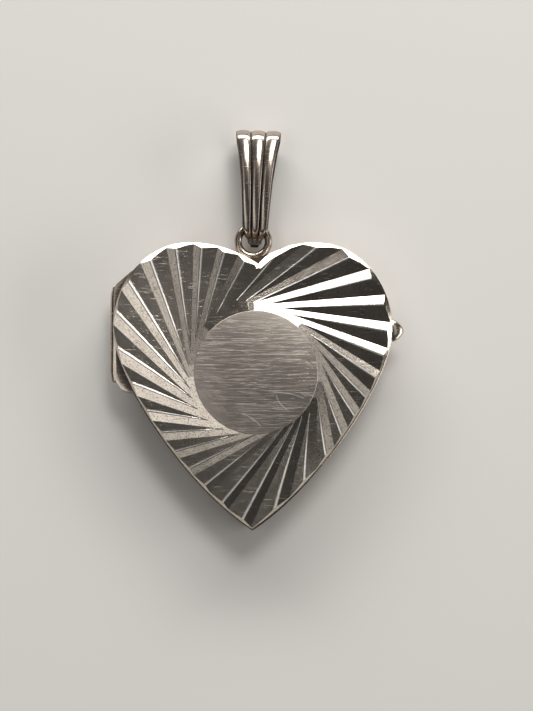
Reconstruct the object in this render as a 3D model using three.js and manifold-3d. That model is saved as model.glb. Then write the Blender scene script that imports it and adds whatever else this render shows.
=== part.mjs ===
// A heart-shaped photo locket with a swirl-cut front, a pin hinge and a fluted bail.
// Millimetres, +Z up. The locket lies on its back: z = 0 is the flat of the back cover, x = 0 the
// heart's middle line, +Y points to the bail, -X is the hinge side and +X the thumb side.
import * as THREE from 'three';
import { mergeVertices } from 'three/addons/utils/BufferGeometryUtils.js';
import { ConvexGeometry } from 'three/addons/geometries/ConvexGeometry.js';
import Module from 'manifold-3d';

const wasm = await Module();
wasm.setup();

// ---- Driving dimensions (mm) ----

// Right half of the heart outline, as three cubic curves from the cleft to the tip.
const CLEFT = [0, 10.75];
const LOBE_TOP = [5.5, 12.33];
const SIDE = [12.05, 4.9];
const TIP = [0, -12.35];
const HALF_OUTLINE = [
  [CLEFT, [1.5, 11.75], [3.6, 12.33], LOBE_TOP],
  [LOBE_TOP, [9.1, 12.33], [12.05, 9.0], SIDE],
  [SIDE, [12.05, 0.9], [5.9, -8.5], TIP],
];
const HALF_STEPS = 32;      // straight edges that stand for each half of a heart outline
const CLEFT_SHIFT = [0.5, -0.3];   // the cleft was cut a little to the right
const CLEFT_REACH = 3.2;    // the lean dies out this far from the middle
const CURVE_STEPS = 60;     // samples of each cubic before it is divided evenly

// Levels of the stack, from the table up.
const BACK_COVER_TOP = 0.60;
const SEAM = 0.02;          // hairline between pieces soldered or laid on each other
const PARTING = 2.30;       // where the two halves meet
const PARTING_GAP = 0.03;
const FRONT_FRAME_TOP = 3.75;
const COVER_EDGE = 4.05;    // top of the front cover's upright edge, where its bright bevel starts

const WALL = 0.65;          // thickness of the side frames
const FLANGE_PROUD = 0.14;  // the fine line along the parting stands this far out
const FLANGE_HEIGHT = 0.22;

// Swirl-cut front.
const SWIRL_CENTRE = new THREE.Vector2(0.155, 1.28);
const SWIRL_RADIUS = 5.45;  // every groove starts tangent to this circle
const GROOVES = 30;
const FIRST_GROOVE = 7;     // degrees clockwise from +Y
const GROOVE_START = 5.0;   // height of a groove's bottom where it leaves the circle
const GROOVE_END = 4.12;    // and where it meets the heart's edge
const STEEP_WALL = 0.25;    // rise of the groove wall on the medallion's side
const GENTLE_WALL = 0.115;  // rise of the wall on the outer side
const BEVEL_SLOPE = 0.58;
const MEDALLION_CENTRE = new THREE.Vector2(0.3, 0.94);
const MEDALLION_RADIUS = 5.31;
const SHOULDER = 5.02;
const MEDALLION_TOP = 5.10;

// Hinge along Y at the parting.
const HINGE_X = -11.95;
const HINGE_Z = PARTING + PARTING_GAP / 2;
const KNUCKLE_RADIUS = 0.45;
const KNUCKLE_BORE = 0.26;
const PIN_RADIUS = 0.22;
const HINGE_CLEARANCE = 0.05;
const KNUCKLE_ENDS = [0.35, 3.1, 6.3, 8.65];   // ends of the three knuckles along Y
const KNUCKLE_GAP = 0.06;
const BEARER_DEPTH = 0.3;   // how far the hinge bearers are let into the side wall
const BEARER_HEIGHT = 0.98;

// Ring and bail.
const RING_CENTRE = new THREE.Vector3(0.05, 12.8, 1.8);
const RING_RADIUS = 1.325;
const WIRE_RADIUS = 0.34;
const BAIL_LEAN = THREE.MathUtils.degToRad(-2.0);
const BAIL_AXIS = new THREE.Vector3(0.22, RING_CENTRE.y + RING_RADIUS, RING_CENTRE.z);

// Looks of the metals and fillings.
const finish = (color, roughness, metalness) => (
  new THREE.MeshStandardMaterial({ color, roughness, metalness })
);
const SILVER = () => finish(0x9a958e, 0.28, 1.0);
const SATIN_SILVER = () => finish(0x8d8880, 0.42, 1.0);
const CLEAR_ACETATE = () => finish(0xe6ecec, 0.12, 0.0);
const IVORY_CARD = () => finish(0xe9e2d0, 0.85, 0.0);

// ---- Solids ----

function toSolid(geometry) {
  const bare = geometry.index ? geometry.clone() : geometry;
  for (const name of Object.keys(bare.attributes)) {
    if (name !== 'position') bare.deleteAttribute(name);
  }
  const merged = mergeVertices(bare, 1e-5);
  return new wasm.Manifold(new wasm.Mesh({
    numProp: 3,
    vertProperties: new Float32Array(merged.attributes.position.array),
    triVerts: new Uint32Array(merged.index.array),
  }));
}

function toGeometry(solid) {
  const mesh = solid.getMesh();
  const geometry = new THREE.BufferGeometry();
  geometry.setAttribute('position', new THREE.BufferAttribute(mesh.vertProperties, 3));
  geometry.setIndex(new THREE.BufferAttribute(mesh.triVerts, 1));
  return geometry;
}

// An outline in the XY plane, pulled up from one height to another.
function prism(outline, low, high) {
  const extrusion = { depth: high - low, bevelEnabled: false };
  const geometry = new THREE.ExtrudeGeometry(new THREE.Shape(outline), extrusion);
  return toSolid(geometry.translate(0, 0, low));
}

// ---- Heart outline ----

// One half of the outline, moved inwards by `inset` (outwards when negative) and cut at the middle line.
function halfHeart(inset) {
  const points = [];
  const first = new THREE.Vector2(...CLEFT);
  if (inset > 0) {
    const direction = new THREE.Vector2(HALF_OUTLINE[0][1][0], HALF_OUTLINE[0][1][1]).sub(first).angle();
    for (let step = 0; step < CURVE_STEPS; step += 1) {
      const angle = -Math.PI / 2 + direction * step / CURVE_STEPS;
      points.push(new THREE.Vector2(inset * Math.cos(angle), CLEFT[1] + inset * Math.sin(angle)));
    }
  }
  for (const cubic of HALF_OUTLINE) {
    const curve = new THREE.CubicBezierCurve(...cubic.map(([x, y]) => new THREE.Vector2(x, y)));
    for (let step = 0; step <= CURVE_STEPS; step += 1) {
      const along = curve.getTangent(step / CURVE_STEPS);
      const inward = new THREE.Vector2(along.y, -along.x);
      points.push(curve.getPoint(step / CURVE_STEPS).addScaledVector(inward, inset));
    }
  }
  return divideEvenly(cutAtMiddle(points), HALF_STEPS);
}

// Keeps the stretch with x > 0, and ends it on x = 0 by running its end edges on or cutting them short.
function cutAtMiddle(points) {
  const kept = points.filter((point) => point.x > 1e-6);
  const onMiddle = (near, next) => {
    const share = near.x / (near.x - next.x);
    return new THREE.Vector2(0, near.y + share * (next.y - near.y));
  };
  const top = points.find((point) => point.x <= 1e-6 && point.y > 0) ?? null;
  const start = top ? onMiddle(kept[0], kept[1]) : kept[0];
  const end = onMiddle(kept.at(-1), kept.at(-2));
  return [start.setX(0), ...kept, end];
}

function divideEvenly(points, steps) {
  const path = new THREE.CurvePath();
  for (let index = 1; index < points.length; index += 1) {
    if (points[index].distanceTo(points[index - 1]) > 1e-6) {
      path.add(new THREE.LineCurve(points[index - 1], points[index]));
    }
  }
  path.arcLengthDivisions = points.length * 4;
  return Array.from({ length: steps + 1 }, (_, step) => path.getPointAt(step / steps));
}

// The cleft was cut a little right of the middle: the outline near it leans over that way.
function leanCleft(point) {
  if (point.y < 0 || Math.abs(point.x) > CLEFT_REACH) return point;
  const share = (1 - Math.abs(point.x) / CLEFT_REACH) ** 2;
  return new THREE.Vector2(point.x + CLEFT_SHIFT[0] * share, point.y + CLEFT_SHIFT[1] * share);
}

// The whole outline, counter-clockwise from the tip.
function heart(inset) {
  const right = halfHeart(inset).reverse();
  const left = right.slice(1, -1).reverse().map((point) => new THREE.Vector2(-point.x, point.y));
  right[0].x = 0;
  right.at(-1).x = 0;
  return [...right, ...left].map(leanCleft);
}

function heartPrism(inset, low, high) {
  return prism(heart(inset), low, high);
}

// A closed skin through heart outlines of different insets at rising heights.
function heartLoft(levels) {
  const rings = levels.map(([inset, z]) => (
    heart(inset).map((point) => new THREE.Vector3(point.x, point.y, z))
  ));
  return toSolid(loftGeometry(rings));
}

// A closed skin through rings with the same number of points, each counter-clockwise seen from the last ring.
function loftGeometry(rings) {
  const count = rings[0].length;
  const triangles = [];
  for (let level = 1; level < rings.length; level += 1) {
    for (let index = 0; index < count; index += 1) {
      const next = (index + 1) % count;
      const [low, high] = [(level - 1) * count, level * count];
      triangles.push(low + index, low + next, high + next, low + index, high + next, high + index);
    }
  }
  const top = (rings.length - 1) * count;
  for (const [a, b, c] of capTriangles(rings[0])) triangles.push(a, c, b);
  for (const [a, b, c] of capTriangles(rings.at(-1))) triangles.push(top + a, top + b, top + c);
  const geometry = new THREE.BufferGeometry().setFromPoints(rings.flat());
  geometry.setIndex(triangles);
  return geometry;
}

// Fills a ring with triangles that run the same way round, in the plane that shows it largest.
function capTriangles(ring) {
  const views = [['y', 'z'], ['z', 'x'], ['x', 'y']].map(([first, second]) => (
    ring.map((point) => new THREE.Vector2(point[first], point[second]))
  ));
  const areas = views.map((view) => THREE.ShapeUtils.area(view));
  const sizes = areas.map(Math.abs);
  const widest = sizes.indexOf(Math.max(...sizes));
  const flat = views[widest];
  const turned = areas[widest] < 0;
  const order = flat.map((_, index) => (turned ? flat.length - 1 - index : index));
  const faces = THREE.ShapeUtils.triangulateShape(order.map((index) => flat[index]), []);
  return faces.map((face) => {
    const [a, b, c] = face.map((index) => order[index]);
    return turned ? [a, c, b] : [a, b, c];
  });
}

// ---- Side frames, with the hinge bearers let into them ----

const BEARER_OUTLINE = [
  [-10.0, 9.95], [-10.5, 9.95], [-11.24, 9.3], [-11.78, 8.83], [-12.05, 8.4],
  [-12.05, 0.9], [-11.78, 0.27], [-11.32, -0.35], [-10.86, -0.55], [-10.0, -0.6],
].map(([x, y]) => new THREE.Vector2(x, y));

// The room that knuckles and pin need in the walls beside them.
function hingeGroove() {
  const [low, high] = [KNUCKLE_ENDS[0] - 0.3, KNUCKLE_ENDS.at(-1) + 0.3];
  const radius = KNUCKLE_RADIUS + HINGE_CLEARANCE;
  const groove = new THREE.CylinderGeometry(radius, radius, high - low, 32);
  return toSolid(groove.translate(HINGE_X, (low + high) / 2, HINGE_Z));
}

// The crescent between the heart's side and the straight hinge line, let into the wall by `depth`.
function bearerCrescent(depth, low, high) {
  return prism(BEARER_OUTLINE, low, high).subtract(heartPrism(depth, low - 1, high + 1));
}

function sideFrame(low, high, flangeLow, flangeHigh) {
  const band = heartPrism(0, low, high).add(heartPrism(-FLANGE_PROUD, flangeLow, flangeHigh));
  return band
    .subtract(heartPrism(WALL, low - 1, high + 1))
    .subtract(bearerCrescent(BEARER_DEPTH + SEAM, low - 1, high + 1))
    .subtract(hingeGroove());
}

function backFrame() {
  return sideFrame(BACK_COVER_TOP + SEAM, PARTING, PARTING - FLANGE_HEIGHT, PARTING);
}

// The notch lets the snap bead on the rim pass.
function frontFrame() {
  const low = PARTING + PARTING_GAP;
  const notch = new THREE.BoxGeometry(0.6, 1.6, 0.9).translate(SIDE[0] - WALL, SIDE[1] - 0.1, low);
  return sideFrame(low, FRONT_FRAME_TOP, low, low + FLANGE_HEIGHT).subtract(toSolid(notch));
}

function backBearer() {
  return bearerCrescent(BEARER_DEPTH, PARTING - BEARER_HEIGHT, PARTING).subtract(hingeGroove());
}

function frontBearer() {
  const low = PARTING + PARTING_GAP;
  return bearerCrescent(BEARER_DEPTH, low, low + BEARER_HEIGHT).subtract(hingeGroove());
}

// ---- Covers ----

// The back cover is a shallow tray shape: flat behind, its edge rolled up to the frame.
function backCover() {
  const roll = [[0.98, 0], [0.6, 0.06], [0.28, 0.20], [0.07, 0.40], [0, BACK_COVER_TOP]];
  return heartLoft(roll);
}

// How far a groove runs from its tangent point before it leaves the heart.
function grooveLength(start, along, outline) {
  let nearest = Infinity;
  for (let index = 0; index < outline.length; index += 1) {
    const a = outline[index];
    const edge = outline[(index + 1) % outline.length].clone().sub(a);
    const cross = along.cross(edge);
    if (Math.abs(cross) < 1e-9) continue;
    const offset = a.clone().sub(start);
    const run = offset.cross(edge) / cross;
    const share = offset.cross(along) / cross;
    if (run > 0 && share >= 0 && share <= 1) nearest = Math.min(nearest, run);
  }
  return nearest;
}

// A wedge standing on a groove's bottom line; everything above the groove's two walls.
function grooveCutter(degrees, outline) {
  const angle = THREE.MathUtils.degToRad(degrees);
  const outward = new THREE.Vector2(Math.sin(angle), Math.cos(angle));
  const along = new THREE.Vector2(Math.cos(angle), -Math.sin(angle));
  const start = SWIRL_CENTRE.clone().addScaledVector(outward, SWIRL_RADIUS);
  const length = grooveLength(start, along, outline);
  const fall = (GROOVE_START - GROOVE_END) / length;
  const [innerReach, outerReach, ceiling] = [6, 9, 9];
  const section = [
    [0, 0], [outerReach, GENTLE_WALL * outerReach], [outerReach, null],
    [-innerReach, null], [-innerReach, STEEP_WALL * innerReach],
  ];
  const ringAt = (run) => section.map(([across, rise]) => {
    const spot = start.clone().addScaledVector(along, run).addScaledVector(outward, across);
    const z = rise === null ? ceiling : GROOVE_START - fall * run + rise;
    return new THREE.Vector3(spot.x, spot.y, z);
  });
  const solid = toSolid(loftGeometry([ringAt(-2), ringAt(length + 0.5)]));
  return solid.volume() > 0 ? solid : toSolid(loftGeometry([ringAt(length + 0.5), ringAt(-2)]));
}

function frontCover() {
  const bevelRun = 1.6;
  const ceiling = 7;
  const low = FRONT_FRAME_TOP + SEAM;
  let cover = heartLoft([
    [0, low], [0, COVER_EDGE], [bevelRun, COVER_EDGE + BEVEL_SLOPE * bevelRun], [bevelRun + 0.01, ceiling],
  ]);
  const outline = heart(0);
  for (let groove = 0; groove < GROOVES; groove += 1) {
    cover = cover.subtract(grooveCutter(FIRST_GROOVE + groove * 360 / GROOVES, outline));
  }
  const aboveShoulder = toSolid(new THREE.BoxGeometry(40, 40, 5).translate(0, 0, SHOULDER + 2.5));
  const medallionHeight = MEDALLION_TOP - COVER_EDGE;
  const medallion = new THREE.CylinderGeometry(MEDALLION_RADIUS, MEDALLION_RADIUS, medallionHeight, 64)
    .rotateX(Math.PI / 2)
    .translate(MEDALLION_CENTRE.x, MEDALLION_CENTRE.y, (MEDALLION_TOP + COVER_EDGE) / 2);
  const hollow = heartLoft([[0.95, low - 1], [0.95, low], [1.05, low + 0.06], [4.5, low + 0.30]]);
  return cover.subtract(aboveShoulder).add(toSolid(medallion)).subtract(hollow);
}

// ---- Inside: rim, photo frames, windows and photo blanks ----

function heartBand(outer, inner, low, high) {
  return heartPrism(outer, low, high).subtract(heartPrism(inner, low - 1, high + 1));
}

const INSIDE = {
  back_photo_blank: () => heartPrism(0.72, 0.63, 0.85),
  back_photo_window: () => heartPrism(0.72, 0.88, 1.08),
  back_photo_frame: () => heartBand(1.05, 1.9, 1.11, 1.65),
  snap_rim: () => heartBand(0.68, 1.0, 1.11, 2.75),
  front_photo_frame: () => heartBand(0.72, 1.55, 2.80, 3.22),
  front_photo_window: () => heartPrism(0.72, 3.25, 3.45),
  front_photo_blank: () => heartPrism(0.72, 3.48, 3.70),
};

// A half-round bead on the rim's thumb side, which clicks the lid shut.
function snapBead() {
  const radius = 0.13;
  const length = 1.1;
  const [wallX, y, z] = [SIDE[0] - 0.68 + SEAM, SIDE[1] - 0.1, 2.55];
  const bead = new THREE.CapsuleGeometry(radius, length - 2 * radius, 4, 12).translate(wallX, y, z);
  const behind = new THREE.BoxGeometry(1, 2, 1).translate(wallX - 0.5, y, z);
  return toSolid(bead).subtract(toSolid(behind));
}

// ---- Hinge knuckles, pin and thumb piece ----

// A ring-section tube along Y whose free ends are filed back.
function knuckle(low, high, filedLow, filedHigh) {
  const filed = 0.16;
  const filedRun = 0.8;
  const profile = [
    [KNUCKLE_BORE, low],
    [KNUCKLE_RADIUS - (filedLow ? filed : 0), low],
    ...(filedLow ? [[KNUCKLE_RADIUS, low + filedRun]] : []),
    ...(filedHigh ? [[KNUCKLE_RADIUS, high - filedRun]] : []),
    [KNUCKLE_RADIUS - (filedHigh ? filed : 0), high],
    [KNUCKLE_BORE, high],
    [KNUCKLE_BORE, low],
  ].map(([radius, y]) => new THREE.Vector2(radius, y));
  return toSolid(new THREE.LatheGeometry(profile, 28).translate(HINGE_X, 0, HINGE_Z));
}

function hingePin() {
  const [low, high] = [KNUCKLE_ENDS[0] - 0.06, KNUCKLE_ENDS.at(-1) + 0.06];
  const dome = 0.08;
  const profile = [
    [0, low], [PIN_RADIUS * 0.8, low], [PIN_RADIUS, low + dome],
    [PIN_RADIUS, high - dome], [PIN_RADIUS * 0.8, high], [0, high],
  ].map(([radius, y]) => new THREE.Vector2(radius, y));
  return toSolid(new THREE.LatheGeometry(profile, 20).translate(HINGE_X, 0, HINGE_Z));
}

function thumbPiece() {
  const base = SIDE[0] + 0.04;
  const tip = 13.1;
  const corners = [
    [base, 3.75, 2.60], [base, 5.75, 2.60], [base, 3.75, 3.40], [base, 5.75, 3.40],
    [tip, 4.62, 2.72], [tip, 4.92, 2.72], [tip - 0.08, 4.68, 2.98], [tip - 0.08, 4.86, 2.98],
  ];
  return toSolid(new ConvexGeometry(corners.map((corner) => new THREE.Vector3(...corner))));
}

// ---- Suspension ring, its saddle and the bail ----

function ringSolid(wireRadius) {
  return toSolid(new THREE.TorusGeometry(RING_RADIUS, wireRadius, 14, 44).translate(...RING_CENTRE));
}

// The saddle fills the cleft under the ring and cradles its wire.
function ringSaddle() {
  const [low, high] = [1.46, PARTING - FLANGE_HEIGHT - SEAM];
  const block = [[-1.25, 11.0], [0.4, 10.2], [1.4, 10.9], [1.4, 11.62], [-1.25, 11.55]]
    .map(([x, y]) => new THREE.Vector2(x, y));
  return prism(block, low, high)
    .subtract(heartPrism(-SEAM, low - 1, high + 1))
    .subtract(ringSolid(WIRE_RADIUS + 0.025));
}

// The bail is one strip folded over the ring. Its side line is drawn in (depth, up) from the swing
// axis: half round over the top, down a long gentle sweep, round the eye, and pinched to a flat tab.
// The sweep is one arc tangent to both the loop and the eye, fuller in front than behind.
const LOOP_RADIUS = 1.2;
const LOOP_UP = 7.0;
const FRONT_BULGE = THREE.MathUtils.degToRad(15);   // slope at which each leaf leaves the top loop
const BACK_BULGE = THREE.MathUtils.degToRad(5);
const EYE_RADIUS = 0.95;
const PINCH_RADIUS = 0.45;
const PINCH_GAP = 0.025;
const TAB_END = -1.7;
const TAB_CORNERS = [-1.45, -1.62];   // heights where the tab's corners start to round off
const BACK_LEAF_EXTRA = 0.15;         // the back leaf's end hangs this much below the front one's

// [height above the swing axis, half the strip's width]
const HALF_WIDTHS = [
  [-1.7, 0.3], [-1.62, 0.45], [-1.45, 0.59], [-1.2, 0.63], [-1.02, 0.64], [-0.66, 0.92], [-0.3, 1.1],
  [1.5, 1.2], [2.6, 1.27], [4.3, 1.4], [6.05, 1.63], [6.9, 1.76], [7.75, 1.94], [8.4, 2.0],
];

function leafLine(bulge) {
  const spread = LOOP_RADIUS - EYE_RADIUS;
  const sweepToLoop = (LOOP_UP ** 2 - spread ** 2) / (2 * (spread + LOOP_UP * Math.sin(bulge)));
  const sweepRadius = sweepToLoop + LOOP_RADIUS;
  const sweepCentre = new THREE.Vector2(-Math.cos(bulge), -Math.sin(bulge))
    .multiplyScalar(sweepToLoop)
    .add(new THREE.Vector2(0, LOOP_UP));
  const eyeTurn = -Math.asin(sweepCentre.y / (sweepRadius - EYE_RADIUS));
  const pinchUp = -Math.sqrt((EYE_RADIUS + PINCH_RADIUS) ** 2 - (PINCH_GAP + PINCH_RADIUS) ** 2);
  const pinchTurn = Math.atan2(pinchUp, PINCH_GAP + PINCH_RADIUS);
  const line = [];
  const arc = (centreDepth, centreUp, radius, from, to, steps, side) => {
    for (let step = 0; step <= steps; step += 1) {
      const angle = from + (to - from) * step / steps;
      const normal = new THREE.Vector2(Math.cos(angle), Math.sin(angle));
      line.push({
        depth: centreDepth + radius * normal.x,
        up: centreUp + radius * normal.y,
        normal: normal.multiplyScalar(side),
      });
    }
  };
  arc(0, LOOP_UP, LOOP_RADIUS, Math.PI / 2, bulge, 8, 1);
  line.pop();
  arc(sweepCentre.x, sweepCentre.y, sweepRadius, bulge, eyeTurn, 10, 1);
  line.pop();
  arc(0, 0, EYE_RADIUS, eyeTurn, pinchTurn, 7, 1);
  line.pop();
  arc(PINCH_GAP + PINCH_RADIUS, pinchUp, PINCH_RADIUS, pinchTurn + Math.PI, Math.PI, 5, -1);
  return line;
}

// Half the strip's width at a height above the swing axis.
function leafHalfWidth(up) {
  const last = HALF_WIDTHS.length - 1;
  if (up <= HALF_WIDTHS[0][0]) return HALF_WIDTHS[0][1];
  if (up >= HALF_WIDTHS[last][0]) return HALF_WIDTHS[last][1];
  const index = HALF_WIDTHS.findIndex(([height]) => height > up);
  const [[lowUp, lowWidth], [highUp, highWidth]] = [HALF_WIDTHS[index - 1], HALF_WIDTHS[index]];
  return lowWidth + (highWidth - lowWidth) * (up - lowUp) / (highUp - lowUp);
}

const RIBS = 3;
const RIB_STEPS = 4;
const LEAF_THICKNESS = 0.16;
const RIB_HEIGHT = 0.19;

// One closed ring of the strip's section at a place on its side line.
function leafSection({ depth, up, normal }) {
  const half = leafHalfWidth(up);
  const ribbed = THREE.MathUtils.smoothstep(up, -1.3, -0.5);
  const at = (across, out) => new THREE.Vector3(across, up + normal.y * out, depth + normal.x * out);
  const outer = [];
  for (let step = 0; step <= RIBS * RIB_STEPS; step += 1) {
    const share = step / (RIBS * RIB_STEPS);
    const withinRib = (share * RIBS) % 1;
    const crest = Math.sqrt(Math.max(0, 1 - (2 * withinRib - 1) ** 2));
    const out = LEAF_THICKNESS + RIB_HEIGHT * (0.35 + (crest - 0.35) * ribbed);
    outer.push(at(half * (2 * share - 1), out));
  }
  return [...outer, at(half, 0), at(-half, 0)];
}

function bailGeometry() {
  const [front, behind] = [FRONT_BULGE, BACK_BULGE].map(leafLine);
  for (const up of [...TAB_CORNERS, TAB_END]) {
    for (const leaf of [front, behind]) {
      leaf.push({ depth: PINCH_GAP, up, normal: new THREE.Vector2(1, 0) });
    }
  }
  const back = behind.slice(1).map(({ depth, up, normal }) => ({
    depth: -depth, up, normal: new THREE.Vector2(-normal.x, normal.y),
  }));
  back.at(-1).up -= BACK_LEAF_EXTRA;
  const rings = [...back.reverse(), ...front].map(leafSection);
  return toGeometry(outwardSolid(rings));
}

function outwardSolid(rings) {
  const solid = toSolid(loftGeometry(rings));
  return solid.volume() > 0 ? solid : toSolid(loftGeometry([...rings].reverse()));
}

// ---- The locket ----

const locket = new THREE.Group();

function add(name, geometry, material, parent = locket) {
  const mesh = new THREE.Mesh(geometry, material());
  mesh.name = name;
  parent.add(mesh);
}

add('front_cover', toGeometry(frontCover()), SILVER);
add('front_frame', toGeometry(frontFrame()), SILVER);
add('front_hinge_bearer', toGeometry(frontBearer()), SILVER);
add('thumb_piece', toGeometry(thumbPiece()), SILVER);
add('back_cover', toGeometry(backCover()), SILVER);
add('back_frame', toGeometry(backFrame()), SILVER);
add('back_hinge_bearer', toGeometry(backBearer()), SILVER);

const [KNUCKLE_0, KNUCKLE_1, KNUCKLE_2, KNUCKLE_3] = KNUCKLE_ENDS;
const HALF_GAP = KNUCKLE_GAP / 2;
add('hinge_knuckle_lower', toGeometry(knuckle(KNUCKLE_0, KNUCKLE_1 - HALF_GAP, true, false)), SILVER);
const middleKnuckle = knuckle(KNUCKLE_1 + HALF_GAP, KNUCKLE_2 - HALF_GAP, false, false);
add('hinge_knuckle_middle', toGeometry(middleKnuckle), SILVER);
add('hinge_knuckle_upper', toGeometry(knuckle(KNUCKLE_2 + HALF_GAP, KNUCKLE_3, false, true)), SILVER);
add('hinge_pin', toGeometry(hingePin()), SILVER);

const INSIDE_LOOKS = { window: CLEAR_ACETATE, blank: IVORY_CARD, frame: SATIN_SILVER, rim: SATIN_SILVER };
for (const [name, make] of Object.entries(INSIDE)) {
  add(name, toGeometry(make()), INSIDE_LOOKS[name.split('_').at(-1)]);
}
add('snap_bead', toGeometry(snapBead()), SILVER);

add('ring_saddle', toGeometry(ringSaddle()), SILVER);
add('suspension_ring', toGeometry(ringSolid(WIRE_RADIUS)), SILVER);

const bailSeat = new THREE.Group();
bailSeat.position.copy(BAIL_AXIS);
bailSeat.rotation.z = BAIL_LEAN;
locket.add(bailSeat);
add('bail', bailGeometry(), SILVER, bailSeat);

export default locket;
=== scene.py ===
import math

import bmesh
import bpy
from mathutils import Matrix, Vector


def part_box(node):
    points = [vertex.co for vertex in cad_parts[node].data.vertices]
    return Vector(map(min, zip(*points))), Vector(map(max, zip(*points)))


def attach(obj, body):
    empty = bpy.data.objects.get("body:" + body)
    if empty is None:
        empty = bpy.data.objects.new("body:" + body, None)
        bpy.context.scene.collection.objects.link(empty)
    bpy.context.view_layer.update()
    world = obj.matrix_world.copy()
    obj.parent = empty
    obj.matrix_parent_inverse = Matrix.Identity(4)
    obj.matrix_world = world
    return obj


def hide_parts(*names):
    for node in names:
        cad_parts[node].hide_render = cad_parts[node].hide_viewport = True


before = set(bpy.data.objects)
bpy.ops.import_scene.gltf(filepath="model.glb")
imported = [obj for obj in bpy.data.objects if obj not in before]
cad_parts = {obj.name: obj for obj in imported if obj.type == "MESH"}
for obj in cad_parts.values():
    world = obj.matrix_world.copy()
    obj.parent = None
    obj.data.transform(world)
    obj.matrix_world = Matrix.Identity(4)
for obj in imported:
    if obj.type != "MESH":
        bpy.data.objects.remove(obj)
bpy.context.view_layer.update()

MM = 0.001

# ---- Heart outline, the same curves as the CAD (mm) ----

CLEFT = (0.0, 10.75)
LOBE_TOP = (5.5, 12.33)
SIDE = (12.05, 4.9)
TIP = (0.0, -12.35)
HALF_OUTLINE = (
    (CLEFT, (1.5, 11.75), (3.6, 12.33), LOBE_TOP),
    (LOBE_TOP, (9.1, 12.33), (12.05, 9.0), SIDE),
    (SIDE, (12.05, 0.9), (5.9, -8.5), TIP),
)
CLEFT_SHIFT = Vector((0.5, -0.3))
CLEFT_REACH = 3.2
HALF_STEPS = 90
CURVE_STEPS = 120
TINY = 1e-6


def cubic(points, t):
    a, b, c, d = (Vector(point) for point in points)
    spot = a * (1 - t) ** 3 + b * 3 * t * (1 - t) ** 2 + c * 3 * t * t * (1 - t) + d * t ** 3
    along = (b - a) * (1 - t) ** 2 + (c - b) * 2 * t * (1 - t) + (d - c) * t * t
    return spot, along.normalized()


def divide_evenly(points, steps):
    lengths = [0.0]
    for before, after in zip(points, points[1:]):
        lengths.append(lengths[-1] + (after - before).length)
    divided, index = [], 0
    for step in range(steps + 1):
        wanted = lengths[-1] * step / steps
        while index < len(points) - 2 and lengths[index + 1] < wanted:
            index += 1
        span = lengths[index + 1] - lengths[index]
        share = (wanted - lengths[index]) / span if span > 0 else 0.0
        divided.append(points[index].lerp(points[index + 1], min(share, 1.0)))
    return divided


def half_heart(inset, steps=HALF_STEPS):
    """The right half of the outline from the cleft to the tip, moved in by `inset` mm."""
    points = []
    if inset > 0:
        _, first = cubic(HALF_OUTLINE[0], 0.0)
        turn = math.atan2(first.y, first.x)
        for step in range(CURVE_STEPS):
            angle = -math.pi / 2 + turn * step / CURVE_STEPS
            points.append(Vector((inset * math.cos(angle), CLEFT[1] + inset * math.sin(angle))))
    for curve in HALF_OUTLINE:
        for step in range(CURVE_STEPS + 1):
            spot, along = cubic(curve, step / CURVE_STEPS)
            points.append(spot + Vector((along.y, -along.x)) * inset)
    kept = [point for point in points if point.x > TINY]

    def on_middle(near, further):
        return Vector((0.0, near.y + (further.y - near.y) * near.x / (near.x - further.x)))

    start = on_middle(kept[0], kept[1]) if inset < 0 else Vector((0.0, CLEFT[1] - inset))
    return divide_evenly([start, *kept, on_middle(kept[-1], kept[-2])], steps)


def lean_cleft(point):
    """The cleft was cut a little right of the middle: the outline near it leans over that way."""
    if point.y < 0 or abs(point.x) > CLEFT_REACH:
        return point
    return point + CLEFT_SHIFT * (1 - abs(point.x) / CLEFT_REACH) ** 2


def heart(inset, steps=HALF_STEPS):
    """The whole outline, counter-clockwise from the tip."""
    right = half_heart(inset, steps)[::-1]
    left = [Vector((-point.x, point.y)) for point in right[1:-1][::-1]]
    return [lean_cleft(point) for point in right + left]


def middle_x(y):
    """Where the two halves of the outline meet: at the cleft for the top, at the tip below."""
    return CLEFT_SHIFT.x if y > 0 else 0.0


# ---- Small mesh kit ----

def linked_object(name, verts_mm, faces):
    mesh = bpy.data.meshes.new(name)
    mesh.from_pydata([(x * MM, y * MM, z * MM) for x, y, z in verts_mm], [], faces)
    piece = bpy.data.objects.new(name, mesh)
    bpy.context.scene.collection.objects.link(piece)
    return piece


def new_piece(name, verts_mm, faces, body, node, slot, regions=None, corner_maps=None,
              smooth_angle=None):
    """A mesh object from points in mm, riding on a body and standing for a CAD node.

    corner_maps gives UV maps by name, each a list of (u, v) for every corner of every face.
    """
    piece = linked_object(name, verts_mm, faces)
    for map_name, values in (corner_maps or {}).items():
        layer = piece.data.uv_layers.new(name=map_name)
        for corner, value in zip(layer.data, values):
            corner.uv = value
    finish_piece(piece, body, node, slot, regions, smooth_angle)
    return piece


def finish_piece(piece, body, node, slot, regions=None, smooth_angle=None):
    mesh = piece.data
    shape = bmesh.new()
    shape.from_mesh(mesh)
    if regions is not None:
        for edge in shape.edges:
            edge.smooth = len({regions[face.index] for face in edge.link_faces}) < 2
    bmesh.ops.recalc_face_normals(shape, faces=shape.faces)
    for face in shape.faces:
        face.smooth = True
    shape.to_mesh(mesh)
    shape.free()
    if smooth_angle is not None:
        mesh.set_sharp_from_angle(angle=math.radians(smooth_angle))
    mesh.materials.clear()
    mesh.materials.append(MATERIALS[slot])
    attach(piece, body)
    if node:
        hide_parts(node)


def apply_modifiers(piece):
    depsgraph = bpy.context.evaluated_depsgraph_get()
    mesh = bpy.data.meshes.new_from_object(piece.evaluated_get(depsgraph))
    piece.modifiers.clear()
    old = piece.data
    piece.data = mesh
    bpy.data.meshes.remove(old)


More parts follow.
